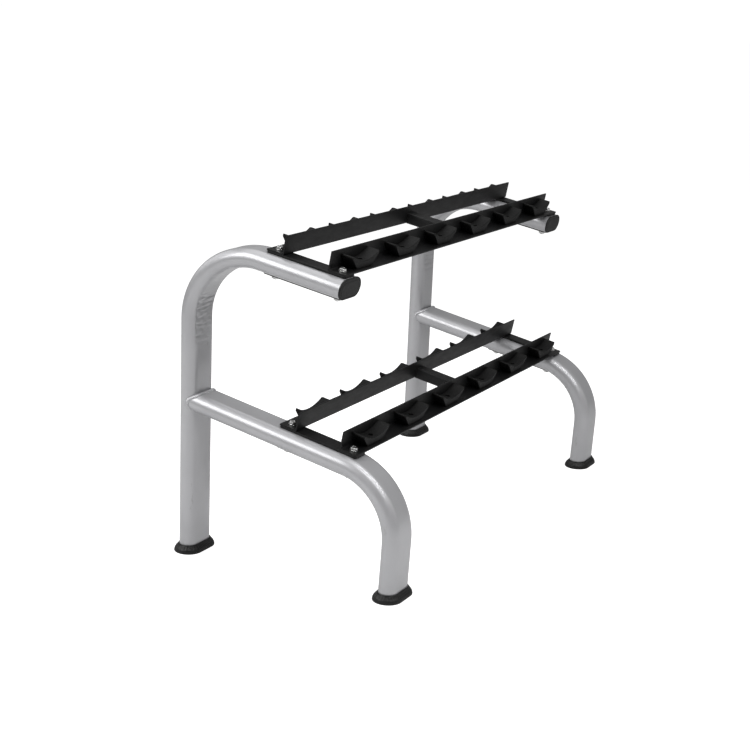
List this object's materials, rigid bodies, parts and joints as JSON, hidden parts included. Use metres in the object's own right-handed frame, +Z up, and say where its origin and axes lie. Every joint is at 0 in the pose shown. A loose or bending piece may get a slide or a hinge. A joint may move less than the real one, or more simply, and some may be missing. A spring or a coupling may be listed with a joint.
{
  "type": "dumbbell rack",
  "caption": "Two-tier dumbbell rack: bent oval-tube side frames carry sloping angle-iron rails with moulded plastic cradles, on rubber feet.",
  "frame": {"origin": "on the floor, at the middle of the four feet", "axes": "+X along the rails to the right seen from the front, -Y to the front, +Z up"},
  "size_m": [1.4, 0.678, 0.8734],
  "materials": {
    "silver_coat": "smooth silver-grey powder coat, semi-gloss",
    "black_coat": "black powder coat, satin",
    "saddle_plastic": "moulded black plastic, fine texture",
    "foot_rubber": "moulded black rubber",
    "cap_plastic": "moulded black plastic",
    "bolt_zinc": "bright zinc plate",
    "screw_steel": "black oxide steel"
  },
  "bodies": {
    "root": {"bolt_nuts": "bolt_zinc", "bolt_washers": "bolt_zinc", "left_arm_cap": "cap_plastic", "left_front_foot": "foot_rubber", "left_leg_tube": "silver_coat", "left_rear_foot": "foot_rubber", "left_upright_tube": "silver_coat", "left_weld_bead": "silver_coat", "lower_crossbar": "black_coat", "lower_front_rail": "black_coat", "lower_front_saddle_1": "saddle_plastic", "lower_front_saddle_2": "saddle_plastic", "lower_front_saddle_3": "saddle_plastic", "lower_front_saddle_4": "saddle_plastic", "lower_front_saddle_5": "saddle_plastic", "lower_front_saddle_6": "saddle_plastic", "lower_left_backing_plate": "black_coat", "lower_left_end_plate": "black_coat", "lower_rear_rail": "black_coat", "lower_rear_saddle_1": "saddle_plastic", "lower_rear_saddle_2": "saddle_plastic", "lower_rear_saddle_3": "saddle_plastic", "lower_rear_saddle_4": "saddle_plastic", "lower_rear_saddle_5": "saddle_plastic", "lower_rear_saddle_6": "saddle_plastic", "lower_right_backing_plate": "black_coat", "lower_right_end_plate": "black_coat", "right_arm_cap": "cap_plastic", "right_front_foot": "foot_rubber", "right_leg_tube": "silver_coat", "right_rear_foot": "foot_rubber", "right_upright_tube": "silver_coat", "right_weld_bead": "silver_coat", "saddle_screws": "screw_steel", "through_bolts": "bolt_zinc", "upper_crossbar": "black_coat", "upper_front_rail": "black_coat", "upper_front_saddle_1": "saddle_plastic", "upper_front_saddle_2": "saddle_plastic", "upper_front_saddle_3": "saddle_plastic", "upper_front_saddle_4": "saddle_plastic", "upper_front_saddle_5": "saddle_plastic", "upper_front_saddle_6": "saddle_plastic", "upper_left_backing_plate": "black_coat", "upper_left_end_plate": "black_coat", "upper_rear_rail": "black_coat", "upper_rear_saddle_1": "saddle_plastic", "upper_rear_saddle_2": "saddle_plastic", "upper_rear_saddle_3": "saddle_plastic", "upper_rear_saddle_4": "saddle_plastic", "upper_rear_saddle_5": "saddle_plastic", "upper_rear_saddle_6": "saddle_plastic", "upper_right_backing_plate": "black_coat", "upper_right_end_plate": "black_coat"}
  },
  "joints": []
}
